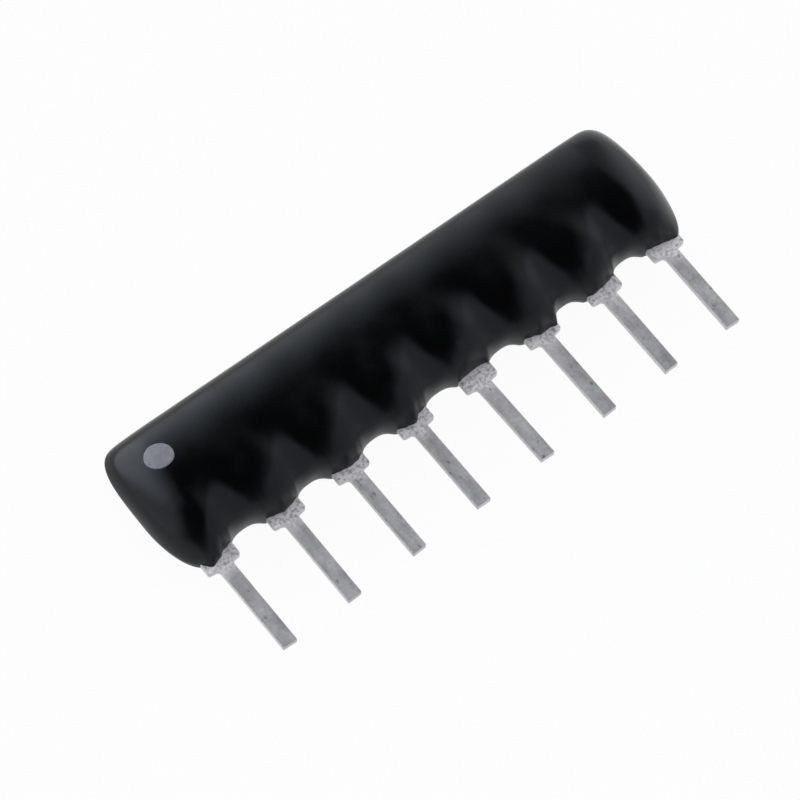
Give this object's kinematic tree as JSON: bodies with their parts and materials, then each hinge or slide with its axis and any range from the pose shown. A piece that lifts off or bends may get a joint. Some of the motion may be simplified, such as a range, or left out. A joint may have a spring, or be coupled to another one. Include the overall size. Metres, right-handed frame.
{
  "type": "resistor network",
  "caption": "Black dipped single in-line resistor network: a low bar with rounded ends, scalloped along its row of flat tinned clip leads, with a pale dot at the first lead.",
  "frame": {"origin": "on the surface that the back of the body lies on, under the middle of the box around the part", "axes": "+X along the row from the dotted first lead to the last, +Y from the lead tips to the top of the body, +Z out of the dotted face"},
  "size_m": [0.0202, 0.0084, 0.0023],
  "materials": {
    "black_epoxy": "dipped black epoxy, half gloss with a soft uneven skin",
    "mark_ink": "pale grey printed ink, thin over the black",
    "alumina": "white fired alumina, fine matt",
    "silver_film": "fired silver palladium print, grey and dull",
    "resistor_ink": "fired resistor paste, black and matt",
    "glass_glaze": "green overglaze glass",
    "solder": "reflowed solder, soft bright grey",
    "tinned_lead": "matt tin plate with faint rubbed patches"
  },
  "bodies": {
    "root": {"coating": "black_epoxy", "pin_one_dot": "mark_ink", "substrate": "alumina", "common_bus": "silver_film", "overglaze": "glass_glaze", "pad_2": "silver_film", "pad_3": "silver_film", "pad_4": "silver_film", "pad_5": "silver_film", "pad_6": "silver_film", "pad_7": "silver_film", "pad_8": "silver_film", "resistor_2": "resistor_ink", "resistor_3": "resistor_ink", "resistor_4": "resistor_ink", "resistor_5": "resistor_ink", "resistor_6": "resistor_ink", "resistor_7": "resistor_ink", "resistor_8": "resistor_ink", "solder_1": "solder", "solder_2": "solder", "solder_3": "solder", "solder_4": "solder", "solder_5": "solder", "solder_6": "solder", "solder_7": "solder", "solder_8": "solder", "lead_1": "tinned_lead", "lead_2": "tinned_lead", "lead_3": "tinned_lead", "lead_4": "tinned_lead", "lead_5": "tinned_lead", "lead_6": "tinned_lead", "lead_7": "tinned_lead", "lead_8": "tinned_lead"}
  },
  "joints": []
}
